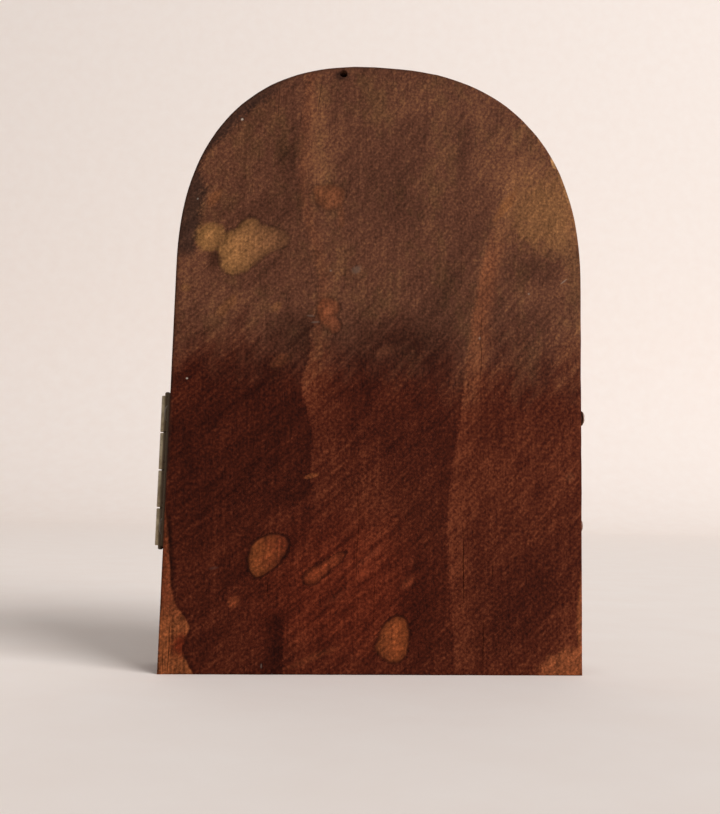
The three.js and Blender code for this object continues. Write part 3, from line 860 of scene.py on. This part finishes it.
def stained_wing(side):
    """The stain of a wing: streaked along the grain, rubbed paler where the wings meet and are opened."""
    material, surface, place = new_finish("stained_wing")
    x, y, z = place.split()
    seen = place.add("CombineXYZ", {}, {0: x + side * 7, 1: z + side * 31, 2: y * -1})
    broad, sawn, fine, mottle, grain, pores = wood_figure(seen)
    drift = seen.noise((0.09, 0.05, 0.1), 4, 0.6) - 0.5
    streaks = seen.noise((0.22, 0.006, 0.1), 3, 0.6) - 0.5
    figure = 2 ** (sawn * 1.6 + fine * 1.7 + mottle * 3.4 + grain * 1.4 - pores * 0.5)
    shade = (1 + streaks * 1.6 + drift * 0.7 + broad * 0.8) * figure
    faded = (drift * 2 + 0.3).fade(0.2, 0.9) * 0.45
    colour = faded.mix(stain(shade, *STAIN), stain(shade, *PALE_STAIN))
    handled = abs(x).fade(7, 1) * abs(z - HANDLED_HEIGHT).fade(34, 6) * (mottle + drift * 2 + 0.8)
    colour = (handled * 0.5).mix(colour, HANDLED_WOOD)
    drops = seen.noise((0.12, 0.1, 0.1), 1).fade(0.68, 0.74)
    colour = (drops * 0.35).mix(colour, DROP_WOOD)
    edge = edge_distance(x, z).least(abs(x) - MEETING / MM)
    faces = abs(y - (wing_low.y + wing_high.y) / 2 / MM).fade(2.2, 3)
    rubbed = edge.fade(0.55, 0.1) * faces * (mottle + drift * 3 + 0.4).fade(0.35, 0.6)
    colour = (rubbed * 0.7).mix(colour, RUBBED_WOOD)
    height = broad * 0.3 + sawn * 0.5 + fine * 0.8 + mottle * 0.4 - pores * 0.8
    dress(surface, colour, 0.66 + mottle * 0.3 - handled * 0.15, height, 0.05)
    surface.inputs["Specular IOR Level"].default_value = 0.1
    return material


for name, side in WINGS:
    outline = wing_outline(side)
    wing_board = board(name + "_board", outline, wing_low.y, wing_high.y, WING_BORDER, WING_RECESS)
    wing_board.data.materials.append(stained_wing(side))
    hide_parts(name + "_wing_board")
    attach(wing_board, name + "_wing")

# Wing pictures and slips
# Two cards gilded and painted with a vine, one glued into the recess of each wing.
# The same gilded rope moulding lies over the edge of each card and holds it.
VINE_STEP = 13
VINE_SWING = 3.4
VINE_MIDDLE = 19.5
LARGE_LEAF = (0.4, -0.6, 2.9, 1.15, 25)  # right, up, half length, half width, turn
SMALL_LEAF = (-1.2, 3.1, 2.3, 0.95, -35)
LEAF_VEIN = (0.4, -0.6, 40, 1, 25)
BERRIES = [(-0.6, -4.2, 0), (0.8, -3.2, 0), (1, -4.9, 0)]
STEM_PAINT = tint(66, 60, 32)
VEIN_PAINT = tint(128, 122, 70)
wing_slip_low, wing_slip_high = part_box("right_wing_slip")

vine_paint, surface, place = new_finish("painted_vine")
x, y, z = place.split()
across = abs(x)
gilt, rubbed, uneven = gilding(place)
phase = z * (2 * math.pi / VINE_STEP / 2)
sway = phase.math("SINE", phase, 0) * VINE_SWING + VINE_MIDDLE
stem = line(across - sway, 0, 0.32) * z.fade(14, 15) * z.fade(101, 99)
half_step = z % VINE_STEP - VINE_STEP / 2
turn_side = ((z / VINE_STEP) % 2).fade(0.99, 1.01) * 2 - 1
leaf_place = place.add("CombineXYZ", {}, {0: (across - VINE_MIDDLE) * turn_side, 1: half_step})
grown = z.fade(13.1, 13.2) * z.fade(91, 90.9)
leaves = blot(leaf_place, 0, *LARGE_LEAF).fade(1.08, 0.92)
leaves = leaves.most(blot(leaf_place, 0, *SMALL_LEAF).fade(1.08, 0.92)) * grown
vein = line(blot(leaf_place, 0, *LEAF_VEIN), 0, 0.1) * leaves
berries = leaf_place.away(BERRIES[0])
for berry in BERRIES[1:]:
    berries = berries.least(leaf_place.away(berry))
berries = berries.fade(0.8, 0.62) * grown
border = edge_distance(x, z).least(z).least(across - MEETING / MM)
rules = line(border, 8.2, 0.2).most(line(border, 9.4, 0.14))
colour = (stem * 0.9).mix(gilt, STEM_PAINT)
colour = (leaves * 0.92).mix(colour, PAINT_GREEN)
colour = (vein * 0.6).mix(colour, VEIN_PAINT)
colour = (berries * 0.95).mix(colour, PAINT_RED)
colour = (rules * 0.9).mix(colour, PAINT_RED)
painted = stem.most(leaves).most(berries).most(rules)
colour = (painted * rubbed * 0.5).mix(colour, gilt)
dress(surface, colour, 0.42 + painted * 0.2 + rubbed * 0.2 + uneven * 0.15,
      uneven * 0.5 + painted * 0.5 - rubbed * 0.3, 0.06)
gilt_share = (1 - painted) * (1 - rubbed * 0.8) * 0.75
vine_paint.node_tree.links.new(gilt_share.socket, surface.inputs["Metallic"])

for name, side in WINGS:
    outline = wing_outline(side)
    inset = HALF - wing_picture_high.x
    picture = card(name + "_card", outline, inset, wing_picture_high.y, wing_picture_low.y)
    picture.data.materials.append(vine_paint)
    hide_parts(name + "_wing_picture")
    slip = rope_slip(name + "_rope", outline, HALF - wing_slip_high.x, wing_slip_high.y, wing_slip_low.y)
    slip.data.materials.append(gilded)
    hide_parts(name + "_wing_slip")
    for piece in picture, slip:
        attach(piece, name + "_wing")

# Hinges
# On each side a small butt hinge of pressed brass: two leaves rolled into knuckles on a plain pin,
# and round-head screws that hold the leaves to the edges; on the left, stain was brushed over them.
METAL_EASE = 0.09 * MM
JOIN_WITHIN = 0.002 * MM
FLAT_BELOW = math.radians(2)
SHARP_ABOVE = math.radians(40)
BRASS = tint(116, 102, 80), tint(160, 147, 121)  # tarnished and clean
SPOTTED_BRASS = tint(74, 60, 44)
BRASS_SHADE = tint(46, 38, 31)
STAIN_ON_BRASS = tint(120, 82, 64)
KNUCKLE_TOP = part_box("right_panel_leaf")[1].x  # below the tops of the knuckles the brass is darkened as painted shade


def softened(name, node):
    """The shape of a CAD node with its facets joined up and its sharp edges rounded over."""
    mesh = bmesh.new()
    mesh.from_mesh(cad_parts[node].data)
    bmesh.ops.remove_doubles(mesh, verts=mesh.verts, dist=JOIN_WITHIN)
    bmesh.ops.dissolve_limit(mesh, angle_limit=FLAT_BELOW, verts=mesh.verts, edges=mesh.edges)
    sharp = [edge for edge in mesh.edges if edge.is_manifold and edge.calc_face_angle() > SHARP_ABOVE]
    bmesh.ops.bevel(mesh, geom=sharp, offset=METAL_EASE, segments=2, profile=0.5, affect="EDGES")
    return new_piece(name, mesh)


def dull_brass(name, shade_amount, stained):
    """Tarnished brass, darkened by so much painted shade below the tops of the knuckles, and with so much
    wood stain over it.
    """
    brass, surface, place = new_finish(name)
    tarnish = place.noise((0.5, 0.5, 0.35), 4, 0.65)
    scratches = place.noise((5, 5, 0.3), 2, 0.6) - 0.5
    spots = place.noise((1.7, 1.7, 1.7), 3, 0.6).fade(0.58, 0.72)
    colour = tarnish.fade(0.35, 0.65).mix(*BRASS)
    colour = (scratches * 0.5 + 1).of((spots * 0.7).mix(colour, SPOTTED_BRASS))
    outward = abs(place.split()[0])
    # Painted shade: the brass darkens below the tops of the knuckles, towards where the hinge meets the
    # board.
    painted_shade = (outward + spots * 0.2).fade(KNUCKLE_TOP / MM - 0.45, KNUCKLE_TOP / MM - 0.9) * shade_amount
    colour = (painted_shade * (tarnish * 0.5 + 0.6)).mix(colour, BRASS_SHADE)
    colour = (tarnish * 0.2 + stained).mix(colour, STAIN_ON_BRASS)
    roughness = 0.36 + spots * 0.25 + scratches * 0.2 + painted_shade * 0.15
    dress(surface, colour, roughness, scratches * 0.6 - spots * 0.4, 0.02)
    surface.inputs["Metallic"].default_value = 1 - stained
    return brass


hinge_brass = dull_brass("hinge_brass", 1, 0)
stained_brass = dull_brass("stained_brass", 0.2, 0.8)
for side in "left", "right":
    fittings = {side + "_hinge_pin": "centre"}
    for leaf, body in (side + "_panel_leaf", "centre"), (side + "_wing_leaf", side + "_wing"):
        fittings[leaf] = body
        fittings[leaf + "_screw_upper"] = body
        fittings[leaf + "_screw_lower"] = body
    for node, body in fittings.items():
        fitting = softened(node + "_metal", node)
        brushed_over = "left" in node and "screw" in node
        fitting.data.materials.append(stained_brass if brushed_over else hinge_brass)
        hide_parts(node)
        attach(fitting, body)

# Floor and backdrop
# One plain sheet of pale paper, which lies flat under the triptych and curves up behind it,
# so that no line shows between the floor and the backdrop.
SHEET_HALF = 1.6
SHEET_NEAR = 0.7
SHEET_FAR = -1.2
SHEET_BEND = 0.4
SHEET_TOP = 1.6
SHEET_STEPS = 16
PAPER = tint(246, 233, 225), tint(251, 242, 236)
sheet = bmesh.new()
profile = [(SHEET_NEAR, 0), (SHEET_FAR, 0)]
for step in range(1, SHEET_STEPS + 1):
    turn = math.pi / 2 * step / SHEET_STEPS
    profile.append((SHEET_FAR - SHEET_BEND * math.sin(turn), SHEET_BEND * (1 - math.cos(turn))))
profile.append((SHEET_FAR - SHEET_BEND, SHEET_TOP))
rows = [[sheet.verts.new((side * SHEET_HALF, y, z)) for side in (-1, 1)] for y, z in profile]
for row, after in zip(rows, rows[1:]):
    sheet.faces.new((row[0], row[1], after[1], after[0]))
floor = new_piece("floor", sheet)
material, surface, place = new_finish("pale_paper")
fibre = place.noise((0.05, 0.05, 0.05), 4, 0.6)
dress(surface, fibre.mix(*PAPER), 0.9 + fibre * 0.1, fibre, 0.02)
floor.data.materials.append(material)

# Light and camera
# Soft daylight from a tall window on the right, seen from behind, and a pale room all round.
# The camera stands where the photograph was taken, a hand's breadth behind the triptych.
ROOM_LIGHT = 0.34
ROOM_COLOUR = (1, 0.98, 0.96, 1)
ROOM_SHOWN = 0.8  # how bright the walls of the room look, past the sheet and in the metal
world = bpy.data.worlds.new("room")
world.use_nodes = True
room = world.node_tree.nodes["Background"]
room.inputs["Color"].default_value = ROOM_COLOUR
rays = Tone(world.node_tree, None).add("LightPath", {}, {}).socket.node.outputs
straight, mirrored, through = [
    Tone(world.node_tree, rays[name]) for name in ("Is Camera Ray", "Is Glossy Ray", "Is Transmission Ray")]
shown = straight.most(mirrored).most(through) * (ROOM_SHOWN - ROOM_LIGHT) + ROOM_LIGHT
world.node_tree.links.new(shown.socket, room.inputs["Strength"])
bpy.context.scene.world = world

WINDOW_PLACE = Vector((-2.8, 2.8, 2.53))
WINDOW_AIM = Vector((0, 0, 0.06))
WINDOW_SIZE = 2.8
WINDOW_WATTS = 188.4
light = bpy.data.lights.new("window", "AREA")
light.energy = WINDOW_WATTS
light.size = WINDOW_SIZE
window = bpy.data.objects.new("window", light)
window.location = WINDOW_PLACE
window.rotation_euler = (WINDOW_AIM - WINDOW_PLACE).to_track_quat("-Z", "Y").to_euler()
bpy.context.scene.collection.objects.link(window)

CAMERA_PLACE = Vector((23.34, 178.32, 30.57)) * MM
CAMERA_AIM = Vector((4.06, 6.95, 50.14)) * MM
CAMERA_ROLL = math.radians(1.35)
IMAGE_HEIGHT = 814
FOCAL_PIXELS = 904
SENSOR_WIDTH = 36
view = bpy.data.cameras.new("camera")
view.sensor_width = SENSOR_WIDTH
view.lens = FOCAL_PIXELS / IMAGE_HEIGHT * SENSOR_WIDTH
view.clip_start = 0.01
camera = bpy.data.objects.new("camera", view)
aim = (CAMERA_AIM - CAMERA_PLACE).to_track_quat("-Z", "Y").to_matrix().to_4x4()
camera.matrix_world = Matrix.Translation(CAMERA_PLACE) @ aim @ Matrix.Rotation(CAMERA_ROLL, 4, "Z")
bpy.context.scene.collection.objects.link(camera)
bpy.context.scene.camera = camera
bpy.context.scene.view_settings.view_transform = "Standard"
